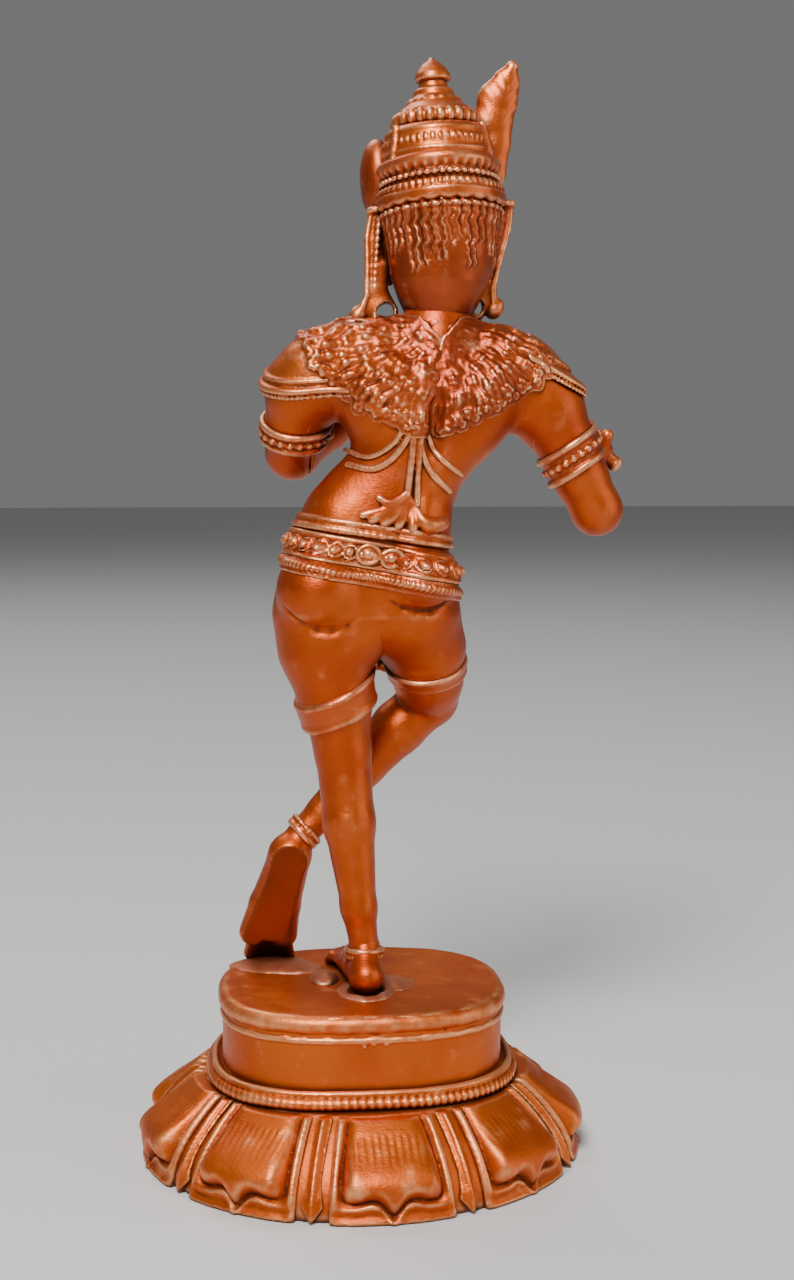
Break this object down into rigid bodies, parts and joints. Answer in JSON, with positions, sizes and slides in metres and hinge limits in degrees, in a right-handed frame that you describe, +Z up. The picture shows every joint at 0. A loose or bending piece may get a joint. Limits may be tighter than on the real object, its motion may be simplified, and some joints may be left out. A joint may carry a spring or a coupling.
{
  "type": "flute player statue",
  "caption": "Small cast copper statue of a flute player with crossed legs and a tall crown, on an oval plinth and a lotus base.",
  "frame": {"origin": "centre of the pedestal's flat underside", "axes": "+Z up, the figure faces -Y, the figure's left is +X"},
  "size_m": [0.061, 0.0486, 0.1283],
  "materials": {
    "figure_copper": "reddish copper, satin, dark in the recesses",
    "ornament_copper": "reddish copper, worn bright on the raised edges",
    "hair_copper": "reddish copper, worn bright on the locks",
    "pedestal_copper": "reddish copper, glossy satin",
    "braze": "matt pinkish brazing metal"
  },
  "bodies": {
    "root": {"back_cord": "ornament_copper", "beaded_collar": "pedestal_copper", "crown_band": "ornament_copper", "crown_finial": "ornament_copper", "crown_panels": "ornament_copper", "crown_roll": "ornament_copper", "crown_side_knot": "ornament_copper", "crown_top": "ornament_copper", "flute": "ornament_copper", "front_clasp": "ornament_copper", "front_sash": "ornament_copper", "gadroon_ring": "ornament_copper", "hair_cap": "hair_copper", "head": "figure_copper", "hips": "figure_copper", "jewelled_belt": "ornament_copper", "left_anklet": "ornament_copper", "left_armlet": "ornament_copper", "left_bracelet": "ornament_copper", "left_ear_pendant": "ornament_copper", "left_foot": "figure_copper", "left_foot_braze": "braze", "left_forearm": "figure_copper", "left_hair_locks": "hair_copper", "left_hand": "figure_copper", "left_knee_bands": "ornament_copper", "left_shin": "figure_copper", "left_shoulder_ornament": "ornament_copper", "left_thigh": "figure_copper", "left_upper_arm": "figure_copper", "lotus_base": "pedestal_copper", "lotus_petals": "pedestal_copper", "neck": "figure_copper", "necklace": "ornament_copper", "oval_plinth": "pedestal_copper", "peacock_feather": "ornament_copper", "plinth_lip": "pedestal_copper", "rear_clasp": "ornament_copper", "rear_sash": "ornament_copper", "right_anklet": "ornament_copper", "right_armlet": "ornament_copper", "right_bracelet": "ornament_copper", "right_ear_pendant": "ornament_copper", "right_foot": "figure_copper", "right_foot_braze": "braze", "right_forearm": "figure_copper", "right_hair_locks": "hair_copper", "right_hand": "figure_copper", "right_knee_bands": "ornament_copper", "right_shin": "figure_copper", "right_shoulder_ornament": "ornament_copper", "right_thigh": "figure_copper", "right_upper_arm": "figure_copper", "rope_belt": "ornament_copper", "side_cords": "ornament_copper", "small_petals": "pedestal_copper", "torso": "figure_copper", "upper_cord": "ornament_copper"}
  },
  "joints": []
}
